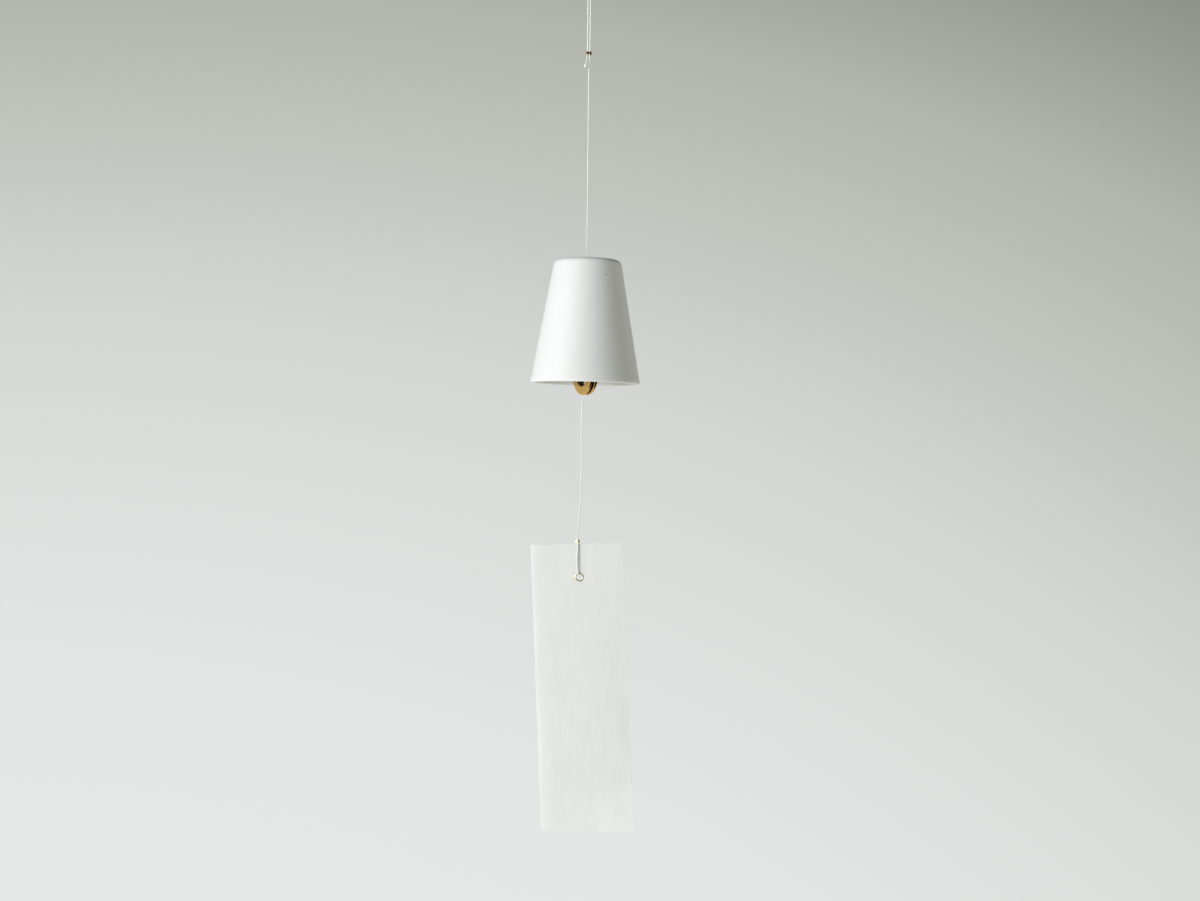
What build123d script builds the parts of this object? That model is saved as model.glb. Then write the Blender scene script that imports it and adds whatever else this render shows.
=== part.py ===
from build123d import *
import os
from math import cos, radians, sin, sqrt, tan

# A furin: a porcelain bell on a thin cord, a clapper of two brass rings and a paper strip.
# Frame: millimetres, +Z up, +X to the right and +Y away from the viewer.
# The origin is the point where the hanging loop bears on its nail.

# Cord, a limp white braid
cord_d = 0.7
cord_r = cord_d / 2
tangent_share = 0.45

# Crimp, a short brass tube pressed flat over two strands side by side
crimp_height = 1.9
crimp_side_wall = 0.47
crimp_face_wall = 0.39
strand_play = 0.03
strand_web = 0.64
strand_offset = cord_r + strand_play + strand_web / 2
crimp_width = 2 * (strand_offset + cord_r + strand_play + crimp_side_wall)
crimp_depth = 2 * (cord_r + strand_play + crimp_face_wall)
pinch_depth = 0.22
pinch_r = 0.9
saddle_depth = 0.25
saddle_r = 2.4
crimp_edge = 0.15

# Drops from the hook down to each piece
loop_drop = 46.4
crown_drop = 112.2
clapper_drop = 56.3
clapper_crimp_drop = 37.5
link_crimp_rise = 0.9
lower_crimp_drop = 91.1
eyelet_below_crimp = 18.7

# Places beside the plumb line
upper_crimp_x = -0.15
bead_x = 0.35
clapper_x = -0.26
lower_crimp_x = -3.8
lower_crimp_turn = -55
eyelet_x = -2.69

# Bell, a truncated cone with a flat crown and an open mouth
rim_d = 60.0
crown_d = 36.4
bell_height = 67.6
bell_wall = 2.0
crown_thickness = 2.4
crown_corner_r = 3.0
crown_inner_r = 1.6
cord_hole_d = 4.0
cord_hole_edge = 0.4
rim_edge = 0.7
bell_tilt = 0.72

# Stopper bead on the cord, and the washer that the bell rests on
bead_d = 5.2
bead_flat = 0.08
washer_d = 9.0
washer_thickness = 1.4
washer_hole_d = 2.4
washer_edge = 0.25
seat_mouth_d = 4.2
seat_play = 0.1

# Clapper, two loose brass rings with the cord between them
ring_d = 24.0
ring_hole_d = 14.0
ring_thickness = 1.95
ring_gap = 1.0
ring_edge = 0.45
ring_turn = 64.0
ring_play = 0.15

# Paper strip and its eyelet
paper_width = 50.8
paper_length = 157.0
paper_thickness = 0.3
eyelet_drop = 18.25
eyelet_offset = 0.64
paper_tilt = 2.68
eyelet_hole_d = 3.2
eyelet_wall = 0.2
eyelet_play = 0.03
flange_d = 4.8
flange_thickness = 0.28
roll_d = 4.5
roll_thickness = 0.25
flange_edge = 0.11

# One overrun for every cut
overrun = 1.0

# Heights that follow from the drops
upper_crimp_z = -loop_drop
crown_z = upper_crimp_z - crimp_height - crown_drop
bead_reach = sqrt((bead_d / 2 + seat_play) ** 2 - (seat_mouth_d / 2) ** 2)
bead_below_crown = crown_thickness + washer_thickness + bead_reach
bead_z = crown_z - bead_below_crown
ring_z = bead_z - clapper_drop
strand_z = ring_z + ring_hole_d / 2 - cord_r - ring_play
clapper_crimp_z = bead_z - clapper_crimp_drop
link_crimp_z = ring_z + link_crimp_rise
lower_crimp_z = ring_z - lower_crimp_drop
eyelet_z = lower_crimp_z - crimp_height - eyelet_below_crimp

# Level directions of the clapper: across is square to the ring faces, along lies in them
across_x, across_y = -sin(radians(ring_turn)), -cos(radians(ring_turn))
along_x, along_y = cos(radians(ring_turn)), -sin(radians(ring_turn))


def across(offset, z):
    """A point beside the clapper's centre, square to the ring faces."""
    return (clapper_x + offset * across_x, offset * across_y, z)


def along(offset, z):
    """A point beside the clapper's centre, in the gap between the rings."""
    return (clapper_x + offset * along_x, offset * along_y, z)


# Routes of the cords, chosen by hand
hanging_loop_route = [
    (-0.85, 0, -46.25),
    (-0.7, 0, 0.05),
    (0, 0, 0.46),
    (0.7, 0, 0.05),
    (0.55, 0, -46.25),
]
upper_tail_route = [
    (-0.85, 0, -46.4),
    (-0.85, 0, -49.0),
    (-1.25, -0.95, -51.0),
    (-1.5, -1.35, -53.0),
    (-2.25, -1.5, -55.2),
]
suspension_route = [
    (0.55, 0, -48.45),
    (0.1, 0, -54.5),
    (-0.02, 0, -151.0),
    (0.35, 0, -161.8),
    (0.35, 0, -168.52),
]
clapper_route = [
    (0.35, 0, -168.67),
    across(0.7, -201.5),
    across(0.7, -207.6),
    across(3.25, -210.2),
    across(3.2, -213.3),
    across(3.1, -215.55),
    across(1.5, -215.8),
    across(-1.5, -215.8),
    across(-3.1, -215.55),
    across(-3.2, -213.3),
    across(-3.25, -210.2),
    across(-0.7, -207.6),
    across(-0.7, -202.2),
    across(-1.3, -199.6),
]
streamer_route = [
    along(1.0, -226.3),
    along(0.7, -224.0),
    along(0.7, -219.9),
    along(0.82, -216.9),
    along(0.8, -215.34),
    along(0, -214.88),
    along(-0.8, -215.34),
    along(-0.82, -216.9),
    along(-0.7, -219.9),
    along(-0.7, -224.4),
    along(-1.85, -234.9),
    (-2.08, 1.72, -239.7),
    (-2.28, 1.75, -247.0),
    (-1.8, 1.0, -286.5),
    (-2.6, -0.1, -297.0),
    (-3.38, -0.57, -306.5),
    (-3.4, -0.573, -313.25),
]
streamer_loop_route = [
    (-4.42, 0.8, -308.5),
    (-4.2, 0.573, -311.6),
    (-4.2, 0.573, -316.4),
    (-4.1, 0.95, -320.5),
    (-3.75, 0.98, -327.5),
    (-3.15, 0.95, -332.85),
    (-3.1, 0, -333.5),
    (-3.15, -0.95, -332.85),
    (-3.85, -0.98, -329.5),
    (-3.9, -0.98, -322.5),
    (-3.4, -0.573, -316.4),
    (-3.4, -0.573, -313.4),
]


def arc_radii(route):
    """Each corner's arc: a share of its shorter run, over the tangent of half the turn."""
    points = [Vector(*p) for p in route]
    radii = []
    for before, corner, after in zip(points, points[1:], points[2:]):
        half_turn = radians((corner - before).get_angle(after - corner)) / 2
        shorter = min((corner - before).length, (after - corner).length)
        radii.append(tangent_share * shorter / tan(half_turn))
    return radii


def cord(name, route):
    """A round cord of straight runs joined by tangent arcs."""
    radii = arc_radii(route)
    print(name, "arc radii", [round(r, 2) for r in radii])
    path = FilletPolyline(*route, radius=radii)
    tube = sweep((path ^ 0) * Circle(cord_r), path=path)
    print(name, "length", round(path.length, 2))
    return tube


def crimp(x, z, turn):
    """A crimp with its top face at z, its two strands side by side along the turned X."""
    body = extrude(SlotOverall(crimp_width, crimp_depth), -crimp_height)
    ends = body.faces().sort_by(Axis.Z)
    body = fillet(ends[0].edges() + ends[-1].edges(), crimp_edge)
    for side in (-1, 1):
        pinch_y = side * (crimp_depth / 2 - pinch_depth + pinch_r)
        body -= Pos(0, pinch_y, -crimp_height / 2) * Cylinder(pinch_r, crimp_height + overrun)
        saddle_z = -crimp_height / 2 + side * (crimp_height / 2 - saddle_depth + saddle_r)
        body -= Pos(0, 0, saddle_z) * Rot(90, 0, 0) * Cylinder(saddle_r, crimp_depth + overrun)
        hole = Cylinder(cord_r + strand_play, crimp_height + overrun)
        body -= Pos(side * strand_offset, 0, -crimp_height / 2) * hole
    return Pos(x, 0, z) * Rot(0, 0, turn) * body


def bell_place():
    """Where the bell stands: about the bead's centre, with the slight lean of the real one."""
    return Pos(bead_x, 0, bead_z) * Rot(0, bell_tilt, 0) * Pos(0, 0, bead_below_crown)


def bell():
    """The porcelain bell, turned about its own axis with the crown at zero."""
    slope = (rim_d - crown_d) / 2 / bell_height
    wall_across = bell_wall * sqrt(1 + slope**2)
    hole_r = cord_hole_d / 2
    inner_crown_r = crown_d / 2 + slope * crown_thickness - wall_across
    crown_corner = (crown_d / 2, 0)
    rim_outer = (rim_d / 2, -bell_height)
    rim_inner = (rim_d / 2 - wall_across, -bell_height)
    inner_corner = (inner_crown_r, -crown_thickness)
    hole_top = (hole_r, 0)
    hole_bottom = (hole_r, -crown_thickness)
    outline = [hole_top, crown_corner, rim_outer, rim_inner, inner_corner, hole_bottom]
    profile = make_face(Polyline(*outline, close=True))
    roundings = [
        (crown_corner, crown_corner_r),
        (inner_corner, crown_inner_r),
        (rim_outer, rim_edge),
        (rim_inner, rim_edge),
        (hole_top, cord_hole_edge),
        (hole_bottom, cord_hole_edge),
    ]
    for corner, radius in roundings:
        profile = fillet(profile.vertices().sort_by_distance((*corner, 0))[0], radius)
    return bell_place() * revolve(Plane.XZ * profile, Axis.Z)


def seat_washer():
    """The washer under the crown, hollowed below for the bead."""
    body = Cylinder(washer_d / 2, washer_thickness)
    body = fillet(body.edges().filter_by(GeomType.CIRCLE), washer_edge)
    middle_z = -crown_thickness - washer_thickness / 2
    body = Pos(0, 0, middle_z) * body
    body -= Pos(0, 0, middle_z) * Cylinder(washer_hole_d / 2, washer_thickness + overrun)
    body -= Pos(0, 0, -bead_below_crown) * Sphere(bead_d / 2 + seat_play)
    return bell_place() * body


def stopper_bead():
    """The brass bead that the cord is fixed in, with a small flat at each end of its bore."""
    span = bead_d - 2 * bead_flat
    body = Sphere(bead_d / 2) & Box(bead_d, bead_d, span)
    body -= Cylinder(cord_r + strand_play, bead_d + overrun)
    return Pos(bead_x, 0, bead_z) * body


def clapper_ring(side):
    """One brass ring of the clapper. Side 1 faces the viewer and side minus 1 is behind."""
    body = Cylinder(ring_d / 2, ring_thickness)
    body -= Cylinder(ring_hole_d / 2, ring_thickness + overrun)
    body = fillet(body.edges().filter_by(GeomType.CIRCLE), ring_edge)
    centre = across(side * (ring_gap + ring_thickness) / 2, ring_z)
    faces = Plane(origin=centre, x_dir=(along_x, along_y, 0), z_dir=(across_x, across_y, 0))
    return faces.location * body


def paper_place():
    """Where the strip hangs: its eyelet's centre, with the strip's lean."""
    return Pos(eyelet_x, 0, eyelet_z) * Rot(0, -paper_tilt, 0)


def tanzaku():
    """The paper strip, with the hole for its eyelet at the local origin."""
    sheet = Box(paper_width, paper_thickness, paper_length)
    sheet = Pos(-eyelet_offset, 0, eyelet_drop - paper_length / 2) * sheet
    hole_r = eyelet_hole_d / 2 + eyelet_wall + eyelet_play
    sheet -= Rot(90, 0, 0) * Cylinder(hole_r, paper_thickness + overrun)
    return paper_place() * sheet


def eyelet():
    """The brass eyelet: a barrel through the paper, a flange in front and a rolled rim behind."""
    barrel = Cylinder(eyelet_hole_d / 2 + eyelet_wall, paper_thickness)
    flange = Pos(0, 0, (paper_thickness + flange_thickness) / 2)
    flange = flange * Cylinder(flange_d / 2, flange_thickness)
    roll = Pos(0, 0, -(paper_thickness + roll_thickness) / 2)
    roll = roll * Cylinder(roll_d / 2, roll_thickness)
    length = paper_thickness + flange_thickness + roll_thickness
    body = barrel + flange + roll - Cylinder(eyelet_hole_d / 2, length + overrun)
    ends = body.faces().filter_by(Plane.XY).sort_by(Axis.Z)
    body = fillet(ends[0].edges() + ends[-1].edges(), flange_edge)
    return paper_place() * Rot(90, 0, 0) * body


nodes = {
    "hanging_loop": cord("hanging_loop", hanging_loop_route),
    "upper_crimp": crimp(upper_crimp_x, upper_crimp_z, 0),
    "upper_tail": cord("upper_tail", upper_tail_route),
    "suspension_cord": cord("suspension_cord", suspension_route),
    "stopper_bead": stopper_bead(),
    "seat_washer": seat_washer(),
    "bell": bell(),
    "clapper_cord": cord("clapper_cord", clapper_route),
    "clapper_crimp": crimp(clapper_x, clapper_crimp_z, 90 - ring_turn),
    "clapper_ring_front": clapper_ring(1),
    "clapper_ring_back": clapper_ring(-1),
    "streamer_cord": cord("streamer_cord", streamer_route),
    "link_crimp": crimp(clapper_x, link_crimp_z, -ring_turn),
    "lower_crimp": crimp(lower_crimp_x, lower_crimp_z, lower_crimp_turn),
    "streamer_loop": cord("streamer_loop", streamer_loop_route),
    "eyelet": eyelet(),
    "tanzaku": tanzaku(),
}

os.makedirs("parts", exist_ok=True)
for node, shape in nodes.items():
    export_step(shape, f"parts/{node}.step")
print("bead z", round(bead_z, 3), "ring z", round(ring_z, 3), "strand z", round(strand_z, 3))
crimp_heights = (clapper_crimp_z, link_crimp_z, lower_crimp_z)
print("crimps z", [round(z, 3) for z in crimp_heights], "eyelet z", round(eyelet_z, 3))
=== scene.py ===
# %% [markdown]
# # A furin, the Japanese wind bell, in Blender
#
# A furin hangs in a window in summer. Wind catches the paper strip, the strip pulls a cord, and the
# cord swings a clapper of loose brass rings against a thin porcelain bell. This file dresses that
# object cell by cell: first the camera and the cords, then the bell, its brass, its felt and its
# paper, and last the light. The construction is fixed already. It is loaded as a frame of rigid
# nodes, and every piece made here lies where its node lies and rides on the same body.

# %% Load the frame
import random
from math import acos, ceil, cos, exp, hypot, pi, radians, sin, sqrt, tan

import bmesh
import bpy
from mathutils import Euler, Matrix, Vector, noise


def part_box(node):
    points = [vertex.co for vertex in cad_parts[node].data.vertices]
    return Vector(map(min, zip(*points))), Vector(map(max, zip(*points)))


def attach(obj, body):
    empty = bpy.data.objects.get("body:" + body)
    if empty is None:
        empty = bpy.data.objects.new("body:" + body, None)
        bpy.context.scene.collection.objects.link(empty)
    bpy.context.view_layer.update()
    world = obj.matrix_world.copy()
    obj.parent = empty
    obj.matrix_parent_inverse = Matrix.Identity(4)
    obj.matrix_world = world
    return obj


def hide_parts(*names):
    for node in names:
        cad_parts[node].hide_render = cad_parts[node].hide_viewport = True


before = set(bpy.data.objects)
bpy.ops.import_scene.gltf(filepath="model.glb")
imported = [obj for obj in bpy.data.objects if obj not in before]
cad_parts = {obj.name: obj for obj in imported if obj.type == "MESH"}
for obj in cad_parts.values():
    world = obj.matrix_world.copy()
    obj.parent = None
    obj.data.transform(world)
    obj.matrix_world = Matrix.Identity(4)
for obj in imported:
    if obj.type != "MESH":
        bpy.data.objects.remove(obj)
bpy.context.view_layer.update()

scene = bpy.context.scene
scene.view_settings.view_transform = "Standard"

# %% [markdown]
# ## The camera
#
# A long object is best seen square on and from some way off, because a near camera makes its ends
# lean away. The bell's plumb line is a good ruler: how wide the picture is at that line, and how
# high its middle is, give the camera's distance and place once the lens is chosen. The camera is
# rolled by half a degree, as one held in the hand is. Depth of field stays off.

# %% Make the camera
mm = 0.001
lens = 50.0
sensor = 36.0
picture_width = 656.9 * mm
picture_middle = Vector((8.1 * mm, 0, -264.6 * mm))
camera_roll = radians(0.55)

camera_data = bpy.data.cameras.new("camera")
camera_data.lens = lens
camera_data.sensor_width = sensor
camera = bpy.data.objects.new("camera", camera_data)
camera_distance = picture_width * lens / sensor
camera.location = picture_middle - Vector((0, camera_distance, 0))
level_view = Euler((pi / 2, 0, 0)).to_matrix()
camera.rotation_euler = (level_view @ Matrix.Rotation(camera_roll, 3, "Z")).to_euler()
scene.collection.objects.link(camera)
scene.camera = camera
print("camera", round(camera_distance, 3), "m from the plumb line")

# %% [markdown]
# ## The cords' routes
#
# A limp cord is a line first and a thing with thickness second. Each route is a few given points. A
# NURBS spline of order 3 takes them as control points: it starts at the first, ends at the last, and
# runs smoothly between, which is how a cord lies that has no stiffness to speak of. A polyline with
# filleted corners would look like bent wire. The loops are tight only where a cord turns round a
# nail, a ring or an eyelet, because there the weight below pulls it taut.


# %% Routes, given in millimetres
def in_metres(route):
    """The same route in metres, which is the scene's unit."""
    return [tuple(v * mm for v in point) for point in route]


loop_route = in_metres([
    (-0.85, 0, -46.25),
    (-0.71, 0, -4.2),
    (-0.7, 0, 0.05),
    (0, 0, 0.46),
    (0.7, 0, 0.05),
    (0.69, 0, -4.2),
    (0.55, 0, -46.25),
])
upper_tail_route = in_metres([
    (-0.85, 0, -46.4),
    (-0.85, 0, -49),
    (-1.25, -0.95, -51),
    (-1.5, -1.35, -53),
    (-2.25, -1.5, -55.2),
])
suspension_route = in_metres([
    (0.55, 0, -48.45),
    (0.1, 0, -54.5),
    (0.05, 0, -60.5),
    (-0.01, 0, -140.2),
    (-0.02, 0, -151),
    (0.35, 0, -161.8),
    (0.35, 0, -168.52),
])

# %% [markdown]
# The clapper's cord and the upper end of the streamer's cord lie in two upright planes that cross
# at the clapper: one square to the faces of its rings, the other in the gap between them. Writing
# those points as a step along the plane and a height keeps them readable.

# %% Routes round the clapper, given in millimetres
clapper_x = -0.26
ring_turn = radians(64)
across_step = Vector((-sin(ring_turn), -cos(ring_turn), 0))
along_step = Vector((cos(ring_turn), -sin(ring_turn), 0))


def beside_clapper(step, places):
    """Points beside the clapper's upright axis, each given as a distance along step and a height."""
    return [(clapper_x + step.x * d, step.y * d, z) for d, z in places]


clapper_route = in_metres([(0.35, 0, -168.67)] + beside_clapper(across_step, [
    (0.7, -201.5),
    (0.7, -207.6),
    (3.25, -210.2),
    (3.2, -213.3),
    (3.1, -215.55),
    (1.5, -215.8),
    (-1.5, -215.8),
    (-3.1, -215.55),
    (-3.2, -213.3),
    (-3.25, -210.2),
    (-0.7, -207.6),
    (-0.7, -202.2),
    (-1.3, -199.6),
]))
streamer_route = in_metres(beside_clapper(along_step, [
    (1, -226.3),
    (0.7, -224),
    (0.7, -219.9),
    (0.82, -216.9),
    (0.8, -215.34),
    (0, -214.88),
    (-0.8, -215.34),
    (-0.82, -216.9),
    (-0.7, -219.9),
    (-0.7, -224.4),
    (-1.85, -234.9),
]) + [
    (-2.08, 1.72, -239.7),
    (-2.28, 1.75, -247),
    (-1.8, 1, -286.5),
    (-2.6, -0.1, -297),
    (-3.38, -0.57, -306.5),
    (-3.4, -0.573, -313.25),
])
eyelet_loop_route = in_metres([
    (-4.42, 0.8, -308.5),
    (-4.2, 0.573, -311.6),
    (-4.2, 0.573, -316.4),
    (-4.1, 0.95, -320.5),
    (-3.75, 0.98, -327.5),
    (-3.15, 0.95, -332.85),
    (-3.1, 0, -333.5),
    (-3.15, -0.95, -332.85),
    (-3.85, -0.98, -329.5),
    (-3.9, -0.98, -322.5),
    (-3.4, -0.573, -316.4),
    (-3.4, -0.573, -313.4),
])
print("routes", len(loop_route) + len(suspension_route) + len(clapper_route), "points above the strip")

# %% [markdown]
# ## From a route to a line of points
#
# Blender samples a spline itself. A curve with no bevel, turned into a mesh, is just the chain of
# its sample points. Spacing those points evenly along the line is worth the few lines it takes,
# because everything that follows a cord, such as a braid's pitch, then has an even rhythm.

# %% Sample a route
spline_order = 3
samples_per_point = 24


def smooth_line(route):
    """The points of a smooth NURBS line whose control points are the route."""
    curve = bpy.data.curves.new("route", "CURVE")
    curve.dimensions = "3D"
    spline = curve.splines.new("NURBS")
    spline.points.add(len(route) - 1)
    for point, place in zip(spline.points, route):
        point.co = (*place, 1)
    spline.order_u = spline_order
    spline.use_endpoint_u = True
    spline.resolution_u = samples_per_point
    holder = bpy.data.objects.new("route", curve)
    mesh = bpy.data.meshes.new_from_object(holder)
    points = [v.co.copy() for v in mesh.vertices]
    bpy.data.meshes.remove(mesh)
    bpy.data.curves.remove(curve)
    return points


def line_length(points):
    """How long a chain of points is."""
    return sum((b - a).length for a, b in zip(points, points[1:]))


def even_line(points, step):
    """The same line with points about one step apart."""
    total = line_length(points)
    count = max(2, ceil(total / step))
    spaced, here, passed = [points[0].copy()], 0, 0.0
    for k in range(1, count):
        goal = total * k / count
        while passed + (points[here + 1] - points[here]).length < goal:
            passed += (points[here + 1] - points[here]).length
            here += 1
        run = points[here + 1] - points[here]
        spaced.append(points[here] + run * ((goal - passed) / run.length))
    spaced.append(points[-1].copy())
    return spaced


# %% [markdown]
# ## Frames along a line
#
# To put anything round a line one needs two directions square to it at each point. Turning the last
# pair by the smallest rotation that follows the line's new direction keeps the pair from spinning,
# so a braid doesn't wring itself where the cord bends.


# %% Carry a frame along a line
def frames_along(points):
    """At each point: the place, the line's direction and two directions square to it."""
    frames = []
    side = None
    for k, place in enumerate(points):
        ahead = (points[min(k + 1, len(points) - 1)] - points[max(k - 1, 0)]).normalized()
        if side is None:
            side = ahead.orthogonal().normalized()
        else:
            side = last_ahead.rotation_difference(ahead) @ side
            side = (side - ahead * side.dot(ahead)).normalized()
        frames.append((place, ahead, side, ahead.cross(side)))
        last_ahead = ahead
    return frames


# %% [markdown]
# ## A braid of eight strands
#
# The cord is a plain braid: four strands run one way round, four the other, and each goes over and
# under in turn. Bump could suggest that, but the edge of a thin cord shows its strands, so they are
# modelled. A strand's centre circles the cord's middle while its distance from the middle rises and
# falls four times a turn. All strands of one hand rise where those of the other hand fall, and that
# alone makes the weave. Each strand is a flat tube, wide enough to touch its neighbours, and they
# lie round a core, as in a sold cord, so no light falls through.

# %% Braid measures
cord_width = 0.7 * mm
braid_step = 0.12 * mm
braid_pitch = 2.6 * mm
strands_each_way = 4
strand_thickness = 0.11 * mm
strand_width = 0.37 * mm
strand_sides = 6
weave_height = 0.022 * mm
braid_radius = cord_width / 2 - strand_thickness / 2 - weave_height
core_radius = 0.3 * mm
core_sides = 8
neck_reach = 0.35 * mm
neck_radius = 0.2 * mm

# %% [markdown]
# A tube is a stack of cross-sections. Each is joined to the next by four-sided faces, and a cap
# closes either end.


# %% Make tubes and strands
def mesh_piece(name, places, faces, smooth=True):
    """A mesh object in the scene, made from places and faces."""
    mesh = bpy.data.meshes.new(name)
    mesh.from_pydata(places, [], faces)
    mesh.validate()
    if smooth:
        mesh.shade_smooth()
    piece = bpy.data.objects.new(name, mesh)
    scene.collection.objects.link(piece)
    return piece


def add_tube(places, faces, rings):
    """Adds a closed tube to a mesh that is being made. rings are its cross-sections in order."""
    first, sides = len(places), len(rings[0])
    for ring in rings:
        places.extend(ring)
    for k in range(len(rings) - 1):
        start = first + k * sides
        for s in range(sides):
            t = (s + 1) % sides
            faces.append((start + s, start + t, start + sides + t, start + sides + s))
    faces.append(tuple(first + s for s in reversed(range(sides))))
    last = first + (len(rings) - 1) * sides
    faces.append(tuple(last + s for s in range(sides)))


def oval(centre, across, wide, along, high, sides):
    """One oval cross-section, wide by high, with its axes across and along."""
    turns = [2 * pi * s / sides for s in range(sides)]
    return [centre + across * (wide / 2 * cos(a)) + along * (high / 2 * sin(a)) for a in turns]


def strand_rings(frames, hand, number):
    """The cross-sections of one strand of the braid."""
    rings = []
    turn_rate = 2 * pi / braid_pitch
    for k, (place, ahead, side, up) in enumerate(frames):
        along = k * braid_step
        angle = hand * (turn_rate * along + 2 * pi * number / strands_each_way)
        out = side * cos(angle) + up * sin(angle)
        away = braid_radius + hand * weave_height * cos(strands_each_way * turn_rate * along)
        strand_ahead = (ahead + out.cross(ahead) * (-hand * turn_rate * braid_radius)).normalized()
        flat = strand_ahead.cross(out)
        rings.append(oval(place + out * away, out, strand_thickness, flat, strand_width, strand_sides))
    return rings


# %% [markdown]
# ## Frayed ends
#
# A cut braid opens at its tip. Its filaments spread from where the strands lie, curl a little and
# thin out. Each is a tube of a few sections along a bent line, and a seeded random source gives the
# same tuft in each run. Real filaments are too fine and too many to make one by one, so a lumpy
# brush of the same white stands for the ones in the middle of the tuft. A row of its shape is a
# place along the tuft, and how much of the braid's radius and of the tuft's spread it takes.

# %% Fray measures
tuft_fibres = 90
fibre_width = 0.085 * mm
fibre_sides = 3
fibre_steps = 6
fibre_taper = 0.65
fibre_lengths = (0.7, 1.25)
root_depth = 0.25
root_width = 1.1
spread_power = 0.7
stray_share = 0.2
curl_share = 0.12
bend_power = 1.6
brush_shape = [
    (-0.3, 1.0, 0.0), (0.05, 1.0, 0.2), (0.35, 1.0, 0.55),
    (0.62, 0.9, 0.7), (0.85, 0.5, 0.45), (0.95, 0.2, 0.1),
]
brush_sides = 14
brush_lumps = 0.12


def add_fibre(places, faces, tip, reach, spread, rng):
    """Adds one filament, which starts inside the braid, bends outwards and curls."""
    place, ahead, side, up = tip
    angle = rng.uniform(0, 2 * pi)
    out = side * cos(angle) + up * sin(angle)
    root = place + out * (braid_radius * root_width * sqrt(rng.random())) - ahead * (root_depth * reach)
    length = reach * rng.uniform(*fibre_lengths)
    bend = out * (spread * rng.random() ** spread_power)
    bend += side * (stray_share * spread * rng.gauss(0, 1))
    curl = (side * rng.gauss(0, 1) + up * rng.gauss(0, 1)) * (curl_share * spread)
    points = []
    for k in range(fibre_steps + 1):
        share = k / fibre_steps
        straight = root + ahead * (share * length)
        points.append(straight + bend * share**bend_power + curl * sin(2 * pi * share))
    rings = []
    for k, (centre, _, right, top) in enumerate(frames_along(points)):
        wide = fibre_width * (1 - fibre_taper * k / fibre_steps)
        rings.append(oval(centre, right, wide, top, wide, fibre_sides))
    add_tube(places, faces, rings)


def add_tuft(places, faces, tip, reach, spread, seed):
    """Adds the opened filaments of a cut end and the brush amid them, at the braid's last frame."""
    rng = random.Random(seed)
    for _ in range(tuft_fibres):
        add_fibre(places, faces, tip, reach, spread, rng)
    place, ahead, side, up = tip
    brush = []
    for along, braid_share, spread_share in brush_shape:
        width = 2 * (braid_radius * braid_share + spread * spread_share)
        middle = place + ahead * (along * reach)
        ring = oval(middle, side, width, up, width, brush_sides)
        lumps = [rng.uniform(1 - brush_lumps, 1 + brush_lumps) for _ in ring]
        brush.append([middle + (p - middle) * lump for p, lump in zip(ring, lumps)])
    add_tube(places, faces, brush)


# %% [markdown]
# A braided length is its eight strands, its core and, at a cut end, its tuft. The braid stops short
# of the line's end by as much as has come undone there, so the tuft lies within the line's reach.
# Strands lie aslant, so their square ends would stand out past the line, and they start and stop
# one step inside it. Where a crimp or the bead takes hold, the core goes on as a thin neck into the
# hole. It is thin enough to tilt there without touching the hole's wall.


# %% Make one length of braid
def core_ring(at, reach, radius):
    """One round cross-section of the core, reach ahead of a frame."""
    place, ahead, side, up = at
    return oval(place + ahead * reach, side, 2 * radius, up, 2 * radius, core_sides)


def core_rings(frames, cut):
    """The core's cross-sections, with a neck beyond each end that isn't cut."""
    rings = [core_ring(frames[0], -neck_reach, neck_radius)]
    rings += [core_ring(at, 0, core_radius) for at in frames]
    if not cut:
        rings.append(core_ring(frames[-1], neck_reach, neck_radius))
    return rings


def braided_cord(name, route, undone=0.0, spread=0.0, cut_first=False, seed=0):
    """A braided cord along a route, and the line that it follows."""
    line = even_line(smooth_line(route), braid_step)
    run = line[::-1] if cut_first else line
    frames = frames_along(run)[: len(run) - int(undone / braid_step)]
    places, faces = [], []
    for hand in (1, -1):
        for number in range(strands_each_way):
            add_tube(places, faces, strand_rings(frames[1:-1], hand, number))
    add_tube(places, faces, core_rings(frames, undone > 0))
    if undone:
        add_tuft(places, faces, frames[-1], undone, spread, seed)
    print(name, "length", round(line_length(line) / mm, 1), "mm,", len(faces), "faces")
    return mesh_piece(name, places, faces), line


# %% [markdown]
# ## Colour from nodes
#
# Every finish here is procedural. One helper makes a Principled material and hands over its node
# tree. The others add a node or two each and give back the output that matters, so that a finish
# reads as a short list of steps. A noise is named by its scale, detail and roughness, a relief by
# the strength and depth of its bump. Numbers that are the same all over a surface go on the
# shader's own inputs.


# %% Material helpers
def feed(tree, node, values):
    """Sets inputs of a node. Each value is a number, a tuple or the output of another node."""
    for name, value in values.items():
        socket = node.inputs[name]
        if isinstance(value, bpy.types.NodeSocket):
            tree.links.new(value, socket)
        elif socket.type == "RGBA":
            socket.default_value = (*value, 1)
        else:
            socket.default_value = value
    return node


def add_node(tree, kind, values):
    """A new node with some of its inputs set."""
    return feed(tree, tree.nodes.new(kind), values)


def new_finish(name, colour, roughness, metallic=0.0):
    """A Principled material, its node tree and its shader."""
    material = bpy.data.materials.new(name)
    material.use_nodes = True
    tree = material.node_tree
    shader = tree.nodes["Principled BSDF"]
    feed(tree, shader, {"Base Color": colour, "Roughness": roughness, "Metallic": metallic})
    return material, tree, shader


def stretched(tree, vector, scale):
    """Coordinates stretched by a scale."""
    return add_node(tree, "ShaderNodeMapping", {"Vector": vector, "Scale": scale}).outputs["Vector"]


def object_coordinates(tree, scale=(1, 1, 1)):
    """Object coordinates, stretched by a scale."""
    return stretched(tree, tree.nodes.new("ShaderNodeTexCoord").outputs["Object"], scale)


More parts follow.
